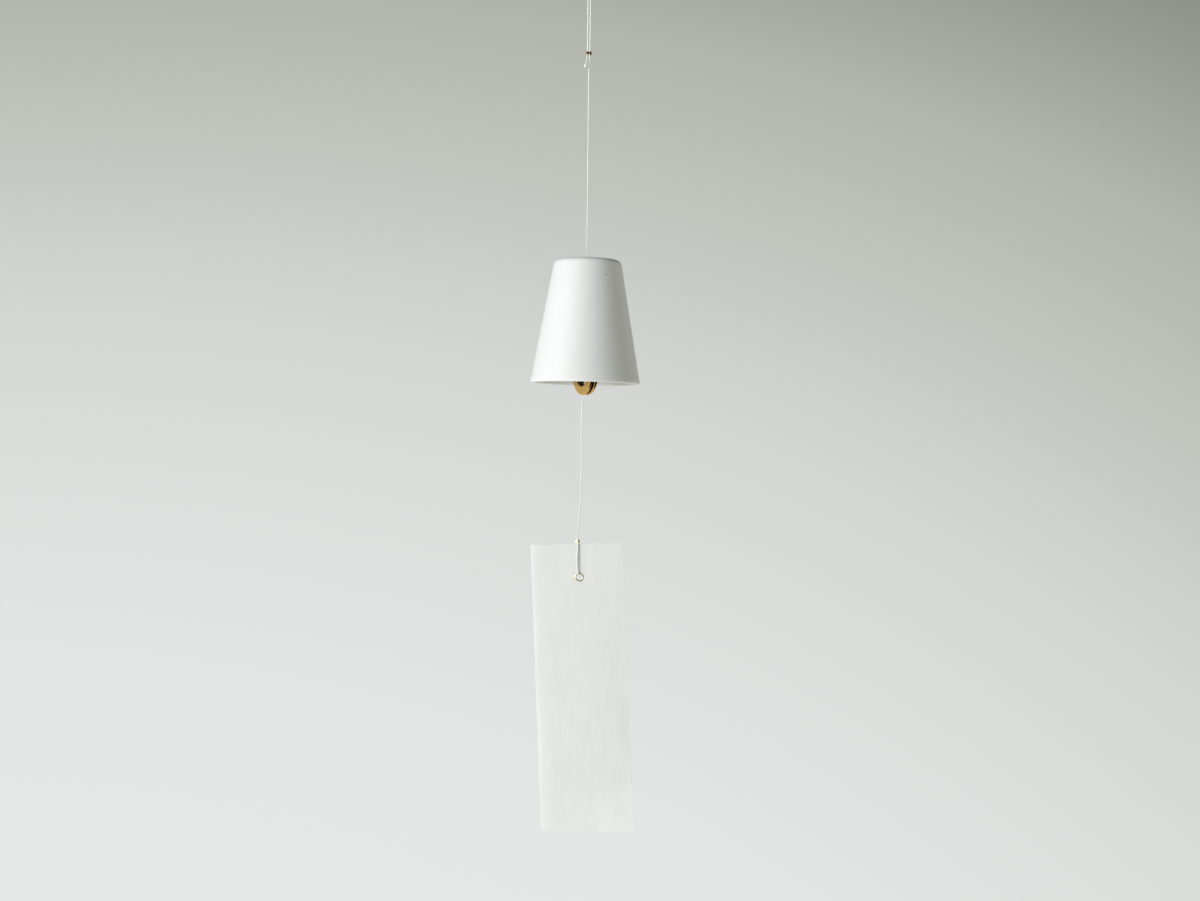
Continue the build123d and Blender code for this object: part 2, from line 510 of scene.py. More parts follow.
def parts_of(tree, vector):
    """The three numbers of a vector."""
    return add_node(tree, "ShaderNodeSeparateXYZ", {0: vector}).outputs[:]


def height_share(tree):
    """How high a point lies in its piece, from 0 at the bottom to 1 at the top."""
    return parts_of(tree, tree.nodes.new("ShaderNodeTexCoord").outputs["Generated"])[2]


def noise_of(tree, vector, character):
    """A noise texture's value over the given coordinates."""
    scale, detail, roughness = character
    values = {"Vector": vector, "Scale": scale, "Detail": detail, "Roughness": roughness}
    return add_node(tree, "ShaderNodeTexNoise", values).outputs["Fac"]


def ramp_of(tree, value, stops):
    """A colour ramp over a value. stops are pairs of a position and a colour."""
    ramp = add_node(tree, "ShaderNodeValToRGB", {"Fac": value})
    elements = ramp.color_ramp.elements
    while len(elements) < len(stops):
        elements.new(0.5)
    for element, (position, colour) in zip(elements, stops):
        element.position = position
        element.color = (*colour, 1)
    return ramp.outputs["Color"]


def mapped(tree, value, source, target):
    """A value mapped from one range to another, and held inside it."""
    values = {"Value": value, "From Min": source[0], "From Max": source[1]}
    values |= {"To Min": target[0], "To Max": target[1]}
    return add_node(tree, "ShaderNodeMapRange", values).outputs["Result"]


def made_math(tree, operation, first, second):
    """The result of one math node. Each of first and second is an output or a number."""
    node = tree.nodes.new("ShaderNodeMath")
    node.operation = operation
    return feed(tree, node, {0: first, 1: second}).outputs[0]


def times(tree, first, second):
    """The product of two outputs or numbers."""
    return made_math(tree, "MULTIPLY", first, second)


def mixed(tree, share, first, second):
    """The colour first turning into second with the share. Each is an output or a colour."""
    mix = tree.nodes.new("ShaderNodeMix")
    mix.data_type = "RGBA"
    return feed(tree, mix, {"Factor": share, "A": first, "B": second}).outputs["Result"]


def bump_of(tree, shader, height, relief):
    """Feeds a height into the shader's normal."""
    strength, depth = relief
    bump = add_node(tree, "ShaderNodeBump", {"Height": height, "Strength": strength, "Distance": depth})
    feed(tree, shader, {"Normal": bump.outputs["Normal"]})


# %% [markdown]
# The cord is white polyester, the whitest thing in the scene. A fine noise varies its colour and
# relief like the filaments in a strand, and a soft sheen lifts its edges, as loose fibres do.

# %% Cord finish
cord_white = (0.985, 0.985, 0.975)
cord_grey = (0.96, 0.96, 0.95)
cord_roughness = 0.6
cord_sheen = {"Sheen Weight": 0.2, "Sheen Roughness": 0.4}
filament_noise = (9000.0, 2.0, 0.5)
filament_stops = [(0.3, cord_grey), (0.6, cord_white)]
filament_relief = (0.3, 0.02 * mm)


def cord_finish():
    """White braid with fine filaments."""
    material, tree, shader = new_finish("white braid", cord_white, cord_roughness)
    fine = noise_of(tree, object_coordinates(tree), filament_noise)
    feed(tree, shader, {"Base Color": ramp_of(tree, fine, filament_stops), **cord_sheen})
    bump_of(tree, shader, fine, filament_relief)
    return material


white_braid = cord_finish()

# %% [markdown]
# ## The six lengths of cord
#
# Each length turns as one rigid body with its joint, so it rides on the body of the node that it
# replaces. Four of them end in a cut tip. The one below the upper crimp has come undone most, the
# others stand short and tight.


# %% Make the cords
def cord_piece(name, route, node, body, **fray):
    """A braided length that stands for its CAD node, and the line that it follows."""
    piece, line = braided_cord(name, route, **fray)
    piece.data.materials.append(white_braid)
    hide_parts(node)
    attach(piece, body)
    return piece, line


hanging_loop, loop_line = cord_piece("braided_hanging_loop", loop_route, "hanging_loop", "hanger")
upper_tail, _ = cord_piece(
    "braided_upper_tail", upper_tail_route, "upper_tail", "top_crimp",
    undone=2.4 * mm, spread=0.6 * mm, seed=3,
)
suspension, suspension_line = cord_piece(
    "braided_suspension_cord", suspension_route, "suspension_cord", "line",
)
clapper_cord, clapper_line = cord_piece(
    "braided_clapper_cord", clapper_route, "clapper_cord", "clapper_line",
    undone=0.7 * mm, spread=0.2 * mm, seed=5,
)
streamer, streamer_line = cord_piece(
    "braided_streamer_cord", streamer_route, "streamer_cord", "streamer_line",
    undone=0.7 * mm, spread=0.2 * mm, cut_first=True, seed=8,
)
eyelet_loop, eyelet_line = cord_piece(
    "braided_eyelet_loop", eyelet_loop_route, "streamer_loop", "streamer_end",
    undone=1.1 * mm, spread=0.18 * mm, cut_first=True, seed=13,
)

# %% [markdown]


# %% [markdown]
# ## Turned shapes
#
# The bell, the clapper's rings, the bead, the washer and the eyelet are all bodies of revolution.
# A lathe needs one closed outline of radius and height. Real edges are never sharp, and light
# catches their roundness, so the outline's corners become short arcs before it is turned. Each point
# also keeps its radius and height on the lathe, and how far to one side it lies there, so that a
# finish can follow the tool's marks.

# %% Lathe helpers
arc_steps = 7
lathe_attribute = "lathe"


def rounded_outline(corners):
    """An outline with arcs at its corners. Each corner is a radius, a height and a rounding."""
    outline = []
    count = len(corners)
    for k, (r, z, rounding) in enumerate(corners):
        corner = Vector((r, z))
        if rounding == 0:
            outline.append(corner)
            continue
        back = (Vector(corners[k - 1][:2]) - corner).normalized()
        ahead = (Vector(corners[(k + 1) % count][:2]) - corner).normalized()
        half = acos(max(-1, min(1, back.dot(ahead)))) / 2
        centre = corner + (back + ahead).normalized() * (rounding / sin(half))
        start = corner + back * (rounding / tan(half)) - centre
        end = corner + ahead * (rounding / tan(half)) - centre
        turn = pi - 2 * half
        if start.x * end.y - start.y * end.x < 0:
            turn = -turn
        for s in range(arc_steps + 1):
            a = turn * s / arc_steps
            outline.append(centre + Vector((
                start.x * cos(a) - start.y * sin(a),
                start.x * sin(a) + start.y * cos(a),
            )))
    return outline


def divided(outline, longest):
    """The outline with its long edges divided into runs no longer than longest."""
    points = []
    for k, a in enumerate(outline):
        b = outline[(k + 1) % len(outline)]
        parts = max(1, ceil((b - a).length / longest))
        points += [a.lerp(b, s / parts) for s in range(parts)]
    return points


def turned(name, outline, place, segments, waver=None):
    """A closed ring of revolution about its own upright axis, then set at its place."""
    places, faces, turns = [], [], []
    sides = len(outline)
    for k in range(segments):
        a = 2 * pi * k / segments
        for point in outline:
            r, z = waver(point.x, point.y, a) if waver else (point.x, point.y)
            places.append(place @ Vector((r * cos(a), r * sin(a), z)))
            turns += (r, z, sin(a) * r)
    for k in range(segments):
        here, there = k * sides, (k + 1) % segments * sides
        for s in range(sides):
            t = (s + 1) % sides
            faces.append((here + s, there + s, there + t, here + t))
    piece = mesh_piece(name, places, faces)
    piece.data.attributes.new(lathe_attribute, "FLOAT_VECTOR", "POINT").data.foreach_set("vector", turns)
    tidy = bmesh.new()
    tidy.from_mesh(piece.data)
    bmesh.ops.recalc_face_normals(tidy, faces=tidy.faces)
    tidy.to_mesh(piece.data)
    tidy.free()
    print(name, len(places), "points")
    return piece


# %% [markdown]
# ## The porcelain bell
#
# The bell is slip cast in a mould and fired without glaze, so it is matte and nearly perfect, with
# a wall of two millimetres. It hangs from a bead under its crown and leans by less than a degree.
# Its own axis is the line through the bead's middle. A slight waver, a twentieth of a millimetre at
# the rim, is what a soft clay wall does in the kiln, and it keeps the bell from looking drawn. A
# wave of it is a number of crests round the rim, a phase and a height.

# %% Bell measures
rim_radius = 30.0 * mm
crown_radius = 18.2 * mm
bell_height = 67.6 * mm
wall = 2.0 * mm
crown_thickness = 2.4 * mm
shoulder_rounding = 3.0 * mm
inner_rounding = 1.6 * mm
cord_hole_radius = 2.0 * mm
hole_rounding = 0.4 * mm
rim_rounding = 0.7 * mm
bell_lean = radians(0.72)
crown_above_bead = 5.497 * mm
bell_segments = 192
bell_course = 2.2 * mm
kiln_waves = [(2, 0.6, 0.042 * mm), (3, 2.0, 0.0168 * mm)]

bead_low, bead_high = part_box("stopper_bead")
bead_middle = (bead_low + bead_high) / 2
bell_place = Matrix.Translation(bead_middle) @ Matrix.Rotation(bell_lean, 4, "Y")
bell_place = bell_place @ Matrix.Translation((0, 0, crown_above_bead))


# %% Turn the bell
def kiln_waver(r, z, angle):
    """The wall's small departure from a true circle, which grows towards the rim."""
    share = max(0.0, -z / bell_height)
    waver = sum(height * sin(crests * angle + phase) for crests, phase, height in kiln_waves)
    return r + share * waver, z


wall_slope = (rim_radius - crown_radius) / bell_height
wall_across = wall * sqrt(1 + wall_slope**2)
inner_crown_radius = crown_radius + wall_slope * crown_thickness - wall_across
bell_corners = [
    (cord_hole_radius, 0, hole_rounding),
    (crown_radius, 0, shoulder_rounding),
    (rim_radius, -bell_height, rim_rounding),
    (rim_radius - wall_across, -bell_height, rim_rounding),
    (inner_crown_radius, -crown_thickness, inner_rounding),
    (cord_hole_radius, -crown_thickness, hole_rounding),
]
bell_outline = divided(rounded_outline(bell_corners), bell_course)
bell = turned("porcelain_bell", bell_outline, bell_place, bell_segments, kiln_waver)

# %% [markdown]
# Unglazed porcelain is white with a cool cast. Three things keep it from looking like plastic: a
# broad, faint drift of tone from the firing, a fine sugary grain, and rare iron specks, the largest
# of them below the shoulder, right of the middle. A little light also travels inside the clay and
# softens its shadow edge.

# %% Porcelain finish
porcelain_white = (0.89, 0.89, 0.885)
porcelain_cool = (0.86, 0.862, 0.858)
porcelain_roughness = 0.56
porcelain_specular = 0.35
drift_noise = (38.0, 3.0, 0.5)
drift_stops = [(0.32, porcelain_cool), (0.68, porcelain_white)]
sugar_noise = (5200.0, 3.0, 0.5)
sugar_relief = (0.22, 0.02 * mm)
clay_radius = (0.9 * mm, 0.8 * mm, 0.7 * mm)
clay_light = {"Subsurface Weight": 0.06, "Subsurface Radius": clay_radius, "Subsurface Scale": 1.0}
speck_brown = (0.19, 0.15, 0.12)
speck_scale = 190.0
speck_size = 0.022
speck_rarity = 0.972
iron_speck = (10.67 * mm, -17.17 * mm, -169.8 * mm)
iron_speck_radius = 0.42 * mm


def speck_mask(tree, vector):
    """1 inside the iron specks, the small ones and the large one, and 0 elsewhere."""
    cells = add_node(tree, "ShaderNodeTexVoronoi", {"Vector": vector, "Scale": speck_scale})
    near = made_math(tree, "LESS_THAN", cells.outputs["Distance"], speck_size)
    chosen = add_node(tree, "ShaderNodeSeparateColor", {"Color": cells.outputs["Color"]})
    rare = made_math(tree, "GREATER_THAN", chosen.outputs["Red"], speck_rarity)
    apart = tree.nodes.new("ShaderNodeVectorMath")
    apart.operation = "DISTANCE"
    feed(tree, apart, {0: vector, 1: iron_speck})
    here = made_math(tree, "LESS_THAN", apart.outputs["Value"], iron_speck_radius)
    return made_math(tree, "MAXIMUM", times(tree, near, rare), here)


def porcelain_finish():
    """Matte bisque porcelain with a fine grain and rare specks."""
    material, tree, shader = new_finish("bisque porcelain", porcelain_white, porcelain_roughness)
    vector = object_coordinates(tree)
    clay = ramp_of(tree, noise_of(tree, vector, drift_noise), drift_stops)
    surface = mixed(tree, speck_mask(tree, vector), clay, speck_brown)
    feed(tree, shader, {"Base Color": surface, "Specular IOR Level": porcelain_specular, **clay_light})
    bump_of(tree, shader, noise_of(tree, vector, sugar_noise), sugar_relief)
    return material


bell.data.materials.append(porcelain_finish())
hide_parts("bell")
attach(bell, "bell")

# %% [markdown]
# ## The clapper's two rings
#
# The clapper is two thick brass washers, loose on the cord and standing on edge side by side. They
# were turned and then tumbled, so their edges are almost half round, and a fine bevel runs round the
# bore. The bevel's points are steps out from the bore and depths under the face, the same on both
# faces. Each ring is an outline turned about a level axis.

# %% Ring measures
ring_radius = 12.0 * mm
bore_radius = 7.0 * mm
ring_thickness = 1.95 * mm
edge_rounding = 0.8 * mm
bevel_points = [(0, 0.45 * mm), (0.2025 * mm, 0.16 * mm), (0.5 * mm, 0.02 * mm), (0.7 * mm, 0)]
ring_segments = 128
ring_course = 0.9 * mm


def ring_corners():
    """The section of a ring, with a shallow bevel round its bore."""
    half = ring_thickness / 2
    front = [(bore_radius + step, half - depth, 0.0) for step, depth in bevel_points]
    back = [(r, -z, 0.0) for r, z, _ in reversed(front)]
    return front + [(ring_radius, half, edge_rounding), (ring_radius, -half, edge_rounding)] + back


def brass_ring(name, node, body, outward):
    """One ring of the clapper, where its node lies. Its lathe's axis points outward."""
    low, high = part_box(node)
    face = Matrix.Translation((low + high) / 2) @ outward.to_track_quat("Z", "Y").to_matrix().to_4x4()
    piece = turned(name, divided(rounded_outline(ring_corners()), ring_course), face, ring_segments)
    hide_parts(node)
    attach(piece, body)
    return piece


# %% [markdown]
# Brass is a metal, so its colour lives in its reflections. A turned face has fine rings that follow
# its own circles, and the radius that each point kept from the lathe gives them at once. Handling
# leaves a faint drift of deeper tarnish. The bores and the two faces that lie together are painted
# dark, as painted shade in the bore and between the rings, and the same radius and height say where.
# The other brass pieces are too small to show such rings, and their grain is a plain noise. The lower
# edge of a dark crimp is painted paler, a painted reflection of the bright floor below, and is duller
# than the rest.

# %% Brass measures
brass_yellow = (0.76, 0.46, 0.12)
brass_deep = (0.63, 0.36, 0.08)
crimp_brown = (0.1, 0.05, 0.018)
crimp_deep = (0.06, 0.03, 0.011)
pale_yellow = (0.97, 0.86, 0.58)
pale_dull = (0.86, 0.73, 0.45)
ring_roughness = 0.26
crimp_roughness = 0.2
pale_roughness = 0.42
bead_roughness = 0.16
roughness_spread = 0.04
# Painted shade: the bores and the two faces that lie together between the rings are painted dark.
painted_gap_shade = (0.11, 0.055, 0.022)
gap_shade_fade = 0.3 * mm
gap_shade_radius = bore_radius + 0.05 * mm
gap_shade_height = -ring_thickness / 2 + 0.05 * mm
# Painted reflection: the bright floor below, painted as a pale band on the lower edge of a dark crimp.
painted_floor_glint = (0.56, 0.43, 0.25)
glint_band = (0.26, 0.38)
tarnish_noise = (900.0, 3.0, 0.55)
tarnish_from, tarnish_to = 0.34, 0.6
metal_grain = (7000.0, 3.0, 0.6)
metal_relief = (0.25, 0.008 * mm)
lathe_stretch = (1, 1, 0.04)


# %% Brass finishes
def lathe_look(tree, surface):
    """The surface with painted shade in the bores and where the rings meet, and coordinates for its
    turned lines.
    """
    kept = tree.nodes.new("ShaderNodeAttribute")
    kept.attribute_name = lathe_attribute
    radius, height, _ = parts_of(tree, kept.outputs["Vector"])
    off_bore = mapped(tree, radius, (gap_shade_radius, gap_shade_radius + gap_shade_fade), (0, 1))
    off_face = mapped(tree, height, (gap_shade_height, gap_shade_height + gap_shade_fade), (0, 1))
    gap_shaded = mixed(tree, times(tree, off_bore, off_face), painted_gap_shade, surface)
    return gap_shaded, stretched(tree, kept.outputs["Vector"], lathe_stretch)


def glint_lower_edge(tree, surface, worn, roughness):
    """The surface and its roughness, with a paler colour painted on the lowest part of the piece as a
    painted reflection of the bright floor, and satin roughness there.
    """
    height = height_share(tree)
    above = mapped(tree, height, glint_band, (0, 1))
    satin = mapped(tree, height, glint_band, (pale_roughness, roughness))
    return mixed(tree, above, painted_floor_glint, surface), made_math(tree, "MAXIMUM", worn, satin)


def brass_finish(name, colour, deeper, roughness, from_lathe=False, with_glint=False):
    """Brass with a drift of tarnish, and with a plain grain or a lathe's lines."""
    material, tree, shader = new_finish(name, colour, roughness, 1.0)
    vector = object_coordinates(tree)
    tarnish = noise_of(tree, vector, tarnish_noise)
    surface = ramp_of(tree, tarnish, [(tarnish_from, deeper), (tarnish_to, colour)])
    if from_lathe:
        surface, vector = lathe_look(tree, surface)
    worn = mapped(tree, tarnish, (0, 1), (roughness - roughness_spread, roughness + roughness_spread))
    if with_glint:
        surface, worn = glint_lower_edge(tree, surface, worn, roughness)
    feed(tree, shader, {"Base Color": surface, "Roughness": worn})
    bump_of(tree, shader, noise_of(tree, vector, metal_grain), metal_relief)
    return material


clapper_brass = brass_finish(
    "satin clapper brass", brass_yellow, brass_deep, ring_roughness, from_lathe=True,
)
crimp_brass = brass_finish("dark drawn brass", crimp_brown, crimp_deep, crimp_roughness, with_glint=True)
pale_brass = brass_finish("pale satin brass", pale_yellow, pale_dull, pale_roughness)
bead_brass = brass_finish("polished bead brass", brass_yellow, brass_deep, bead_roughness)
for ring_name, ring_node, ring_body, outward in (
    ("brass_ring_front", "clapper_ring_front", "ring_front", across_step),
    ("brass_ring_back", "clapper_ring_back", "ring_back", -across_step),
):
    brass_ring(ring_name, ring_node, ring_body, outward).data.materials.append(clapper_brass)

# %% [markdown]
# ## The bead
#
# Out of sight under the crown, a brass bead carries the bell through a felt washer. The bead is a
# ball with a small flat at each end of its bore.

# %% Turn the bead
bead_radius = 2.6 * mm
bead_bore = 0.38 * mm
bead_flat = 0.08 * mm
bead_arc_steps = 28
bead_segments = 64


def bead_outline():
    """Half of a ball's section, with flats at the bore."""
    reach = acos((bead_radius - bead_flat) / bead_radius)
    arc = []
    for k in range(bead_arc_steps + 1):
        a = reach + (pi - 2 * reach) * k / bead_arc_steps
        arc.append(Vector((bead_radius * sin(a), bead_radius * cos(a))))
    flat = bead_radius - bead_flat
    return arc + [Vector((bead_bore, -flat)), Vector((bead_bore, flat))]


bead = turned("brass_bead", bead_outline(), Matrix.Translation(bead_middle), bead_segments)
bead.data.materials.append(bead_brass)
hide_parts("stopper_bead")
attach(bead, "line")

# %% [markdown]
# ## The felt washer
#
# The washer lies flat against the crown from below, and it is hollowed underneath where the bead
# has pressed into it. A noise on the turned surface makes its free sides fuzzy.

# %% Turn the felt washer
washer_radius = 4.5 * mm
washer_thickness = 1.4 * mm
washer_bore = 1.2 * mm
washer_rounding = 0.3 * mm
washer_segments = 96
washer_course = 0.25 * mm
seat_radius = bead_radius + 0.1 * mm
seat_mouth = 2.1 * mm
seat_steps = 6
felt_fuzz = 0.05 * mm
fuzz_scale = 2600.0
fuzz_from_crown = 0.1 * mm


def washer_outline():
    """The washer's section, its underside hollowed by the bead."""
    top = -crown_thickness
    bottom = top - washer_thickness
    edge = washer_radius - washer_rounding
    section = [
        (washer_bore, top), (edge, top), (washer_radius, top - washer_rounding),
        (washer_radius, bottom + washer_rounding), (edge, bottom),
    ]
    for k in range(seat_steps + 1):
        r = seat_mouth + (washer_bore - seat_mouth) * k / seat_steps
        section.append((r, sqrt(seat_radius**2 - r**2) - crown_above_bead))
    return [Vector(point) for point in section]


def felt_waver(r, z, angle):
    """Fuzz on the washer's outside and underside, none where it lies on the crown."""
    free = z < -crown_thickness - fuzz_from_crown and r > seat_mouth
    if not free:
        return r, z
    place = Vector((r * cos(angle), r * sin(angle), z)) * fuzz_scale
    return r + felt_fuzz * noise.noise(place) - felt_fuzz / 2, z


washer = turned(
    "felt_washer", divided(washer_outline(), washer_course), bell_place, washer_segments, felt_waver,
)

# %% [markdown]
# Felt is the softest finish here. It is all roughness and coarse relief, with a sheen of loose
# fibres.

# %% Felt finish
wool_white = (0.72, 0.7, 0.64)
wool_stops = [(0.3, (0.55, 0.53, 0.47)), (0.7, (0.78, 0.76, 0.7))]
wool_roughness = 0.95
wool_sheen = 0.4
wool_noise = (2400.0, 6.0, 0.7)
wool_relief = (0.8, 0.15 * mm)


def felt_finish():
    """Pressed wool felt."""
    material, tree, shader = new_finish("wool felt", wool_white, wool_roughness)
    wool = noise_of(tree, object_coordinates(tree), wool_noise)
    feed(tree, shader, {"Base Color": ramp_of(tree, wool, wool_stops), "Sheen Weight": wool_sheen})
    bump_of(tree, shader, wool, wool_relief)
    return material


washer.data.materials.append(felt_finish())
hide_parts("seat_washer")
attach(washer, "seat")

# %% [markdown]
# ## The crimps
#
# A crimp is a short brass tube that pliers have pressed flat over two strands. The CAD node has
# that shape already, with its pinched middle and its dished ends, so it keeps its mesh and only
# gets its brass. Three have darkened to brown with age. The lowest one hangs by the paper, is
# handled most and has worn pale and satin, as the eyelet has.

# %% Finish the crimps
for crimp_node, finish in (
    ("upper_crimp", crimp_brass), ("clapper_crimp", crimp_brass),
    ("link_crimp", crimp_brass), ("lower_crimp", pale_brass),
):
    crimp_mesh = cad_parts[crimp_node].data
    crimp_mesh.materials.clear()
    crimp_mesh.materials.append(finish)

# %% [markdown]
# ## The paper strip
#
# The strip, a tanzaku, is handmade paper cut to a slip and hung by an eyelet. A sheet that thin is
# never flat: it turns a few degrees to one side on its cord, it keeps a faint roll across its width,
# its cut edge bends back a little on the left, and a lower corner lifts. Making it as a grid in its
# own flat coordinates, width and length, lets each of these be one term of a height, and a slow
# noise adds the cockle that damp leaves. Round the eyelet and above it, where the cord holds the
# sheet, all of them fade out. The eyelet's hole is cut by leaving out the cells inside it and
# pulling the rim of what is left onto a true circle.

# %% Paper measures
paper_width = 50.8 * mm
paper_length = 157.0 * mm
paper_thickness = 0.14 * mm
eyelet_from_top = 18.25 * mm
eyelet_from_middle = 0.64 * mm
paper_lean = radians(2.68)
hole_radius = 1.83 * mm
paper_cell = 0.8 * mm
flat_round_eyelet = 9.0 * mm
flat_upwards = 0.15

eyelet_low, eyelet_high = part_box("eyelet")
eyelet_middle = Vector((
    (eyelet_low.x + eyelet_high.x) / 2,
    0,
    (eyelet_low.z + eyelet_high.z) / 2,
))
paper_place = Matrix.Translation(eyelet_middle) @ Matrix.Rotation(-paper_lean, 4, "Y")

# %% How the paper bends
facing_turn = radians(6)
roll_height = 0.7 * mm
roll_at_top = 0.35
edge_turn = 0.55 * mm
edge_turn_width = 1.6 * mm
corner_lift = 8.0 * mm
corner_reach = 52.0 * mm
corner_slant = 1.15
cockle_height = 0.12 * mm
cockle_across = 60.0
cockle_down = 30.0


def paper_height(x, z):
    """How far the sheet stands behind its flat place, at x and z from the eyelet."""
    from_middle = x + eyelet_from_middle
    from_top = eyelet_from_top - z
    across = from_middle / (paper_width / 2)
    down = from_top / paper_length
    turn = -tan(facing_turn) * x
    roll = roll_height * across**2 * (roll_at_top + (1 - roll_at_top) * down)
    turned_edge = edge_turn * exp(-(from_middle + paper_width / 2) / edge_turn_width)
    from_corner = (paper_width / 2 - from_middle) * corner_slant + (paper_length - from_top)
    lift = corner_lift * max(0.0, 1 - from_corner / corner_reach)**2 * down
    cockle = cockle_height * noise.noise(Vector((x * cockle_across, z * cockle_down, 0)))
    away = min(1.0, hypot(x, z if z < 0 else z * flat_upwards) / flat_round_eyelet)
    loose = away**2 * (3 - 2 * away)
    return (turn + roll + turned_edge - lift + cockle) * loose


def paper_grid():
    """The flat sheet as a grid with a round hole, in its own coordinates."""
    columns, rows = ceil(paper_width / paper_cell), ceil(paper_length / paper_cell)
    grid = bmesh.new()
    left = -eyelet_from_middle - paper_width / 2
    corners = [
        [grid.verts.new((left + paper_width * i / columns, 0, eyelet_from_top - paper_length * j / rows))
         for i in range(columns + 1)]
        for j in range(rows + 1)
    ]
    for j in range(rows):
        for i in range(columns):
            cell = (corners[j][i], corners[j + 1][i], corners[j + 1][i + 1], corners[j][i + 1])
            middle = sum((v.co for v in cell), Vector()) / 4
            if middle.length > hole_radius:
                grid.faces.new(cell)
    loose = [v for v in grid.verts if not v.link_faces]
    bmesh.ops.delete(grid, geom=loose, context="VERTS")
    for v in grid.verts:
        if v.is_boundary and v.co.length < 2 * hole_radius:
            v.co = v.co.normalized() * hole_radius
    return grid


# %% Make the strip
def paper_strip():
    """The strip as a closed thin sheet with its bends and a crisp cut edge."""
    grid = paper_grid()
    for v in grid.verts:
        v.co.y = paper_height(v.co.x, v.co.z)
        v.co = paper_place @ v.co
    for edge in grid.edges:
        edge.smooth = not edge.is_boundary
    mesh = bpy.data.meshes.new("washi_strip")
    bmesh.ops.recalc_face_normals(grid, faces=grid.faces)
    grid.to_mesh(mesh)
    grid.free()
    mesh.shade_smooth()
    piece = bpy.data.objects.new("washi_strip", mesh)
    scene.collection.objects.link(piece)
    body = piece.modifiers.new("thickness", "SOLIDIFY")
    body.thickness = paper_thickness
    body.offset = 0
    print("washi_strip", len(mesh.vertices), "points")
    return piece


washi_strip = paper_strip()

# %% [markdown]
# Washi is made of long kozo fibres that settle along the mould, so the sheet has fine upright
# streaks. Noise that is stretched almost thirty times along the strip gives the streaks, and a
# broader noise gives cloudy thick and thin places. Both feed the colour, and the streaks the relief
# as well. The strip is painted a little darker towards its top, as painted shade for the light that
# falls more on its lower part. Paper this thin also passes light from behind, so a translucent shader
# takes a share of it.

# %% Paper finish
washi_white = (0.975, 0.975, 0.955)
washi_shade = (0.912, 0.912, 0.888)
washi_stops = [(0.36, washi_shade), (0.56, washi_white)]
# Painted shade: the strip is painted a little darker towards its top.
washi_top_shade = (0.88, 0.88, 0.855)
top_shade_from = 0.3
top_shade_share = 0.5
washi_roughness = 0.88
washi_soft = {"Specular IOR Level": 0.25, "Sheen Weight": 0.1}
washi_through = (0.93, 0.93, 0.89)
through_share = 0.1
streak_stretch = (1, 1, 0.035)
streak_noise = (1500.0, 6.0, 0.62)
streak_relief = (0.4, 0.05 * mm)
cloud_stretch = (1, 1, 0.4)
cloud_noise = (150.0, 4.0, 0.6)
cloud_share = 0.4


def washi_finish():
    """Off-white handmade paper with upright fibres, which lets some light through."""
    material, tree, shader = new_finish("washi paper", washi_white, washi_roughness)
    streaks = noise_of(tree, object_coordinates(tree, streak_stretch), streak_noise)
    clouds = noise_of(tree, object_coordinates(tree, cloud_stretch), cloud_noise)
    fibres = add_node(tree, "ShaderNodeMix", {"Factor": cloud_share, "A": streaks, "B": clouds})
    surface = ramp_of(tree, fibres.outputs["Result"], washi_stops)
    shaded_top = mapped(tree, height_share(tree), (top_shade_from, 1), (0, top_shade_share))
    feed(tree, shader, {"Base Color": mixed(tree, shaded_top, surface, washi_top_shade), **washi_soft})
    bump_of(tree, shader, streaks, streak_relief)
    through = add_node(tree, "ShaderNodeBsdfTranslucent", {"Color": washi_through})
    both = {"Fac": through_share, 1: shader.outputs["BSDF"], 2: through.outputs["BSDF"]}
    sheet = add_node(tree, "ShaderNodeMixShader", both)
    feed(tree, tree.nodes["Material Output"], {"Surface": sheet.outputs["Shader"]})
    return material


washi_strip.data.materials.append(washi_finish())
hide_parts("tanzaku")
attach(washi_strip, "paper_strip")

# %% [markdown]
# ## The eyelet
#
# The eyelet is a thin brass barrel. Its flange in front is a half-round dome, and behind the paper
# its end is rolled over, as the setting tool leaves it. Both are arcs in the outline, which is
# turned about the level axis through the hole. They start from the faces of the solid sheet, which
# is a little thicker than the dressed one.

# %% Turn the eyelet
barrel_radius = 1.6 * mm
barrel_wall = 0.2 * mm
flange_radius = 2.4 * mm
flange_rise = 0.28 * mm
roll_radius = 2.25 * mm
roll_rise = 0.25 * mm
dome_steps = 12
eyelet_segments = 72
cad_paper_half = 0.15 * mm


def dome(inner, outer, base, rise):
    """Points of a flattened half round from the radius inner to the radius outer."""
    middle, half = (inner + outer) / 2, (outer - inner) / 2
    turns = [pi * k / dome_steps for k in range(dome_steps + 1)]
    return [Vector((middle - half * cos(a), base + rise * sin(a))) for a in turns]


def eyelet_outline():
    """The eyelet's section: domed flange in front, barrel, and rolled rim behind."""
    front = dome(barrel_radius, flange_radius, cad_paper_half, flange_rise)
    back = dome(barrel_radius, roll_radius, -cad_paper_half, -roll_rise)
    outer = barrel_radius + barrel_wall
    return front + [Vector((outer, cad_paper_half)), Vector((outer, -cad_paper_half))] + back[::-1]


eyelet_place = paper_place @ Matrix.Rotation(pi / 2, 4, "X")
eyelet = turned("brass_eyelet", eyelet_outline(), eyelet_place, eyelet_segments)
eyelet.data.materials.append(pale_brass)
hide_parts("eyelet")
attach(eyelet, "paper_strip")

# %% [markdown]
# ## Background and light
#
# Pale things on a pale wall are shown by light alone. One wide window stands to the left, on the
# viewer's side, and the rest of the room gives back a soft fill: almost none from the ceiling, some
# from the walls, and most from the floor, which returns the window's light. The fill is a touch
# yellow beside the window's blue, so a white bell has a cool side and a warm one. What is seen
# behind the object is a gradient of its own, pale below and a dim grey-green above. It curves
# across the view as a wall does that is lit from one side, stays level beyond the view's sides, and
# metal reflects it too.

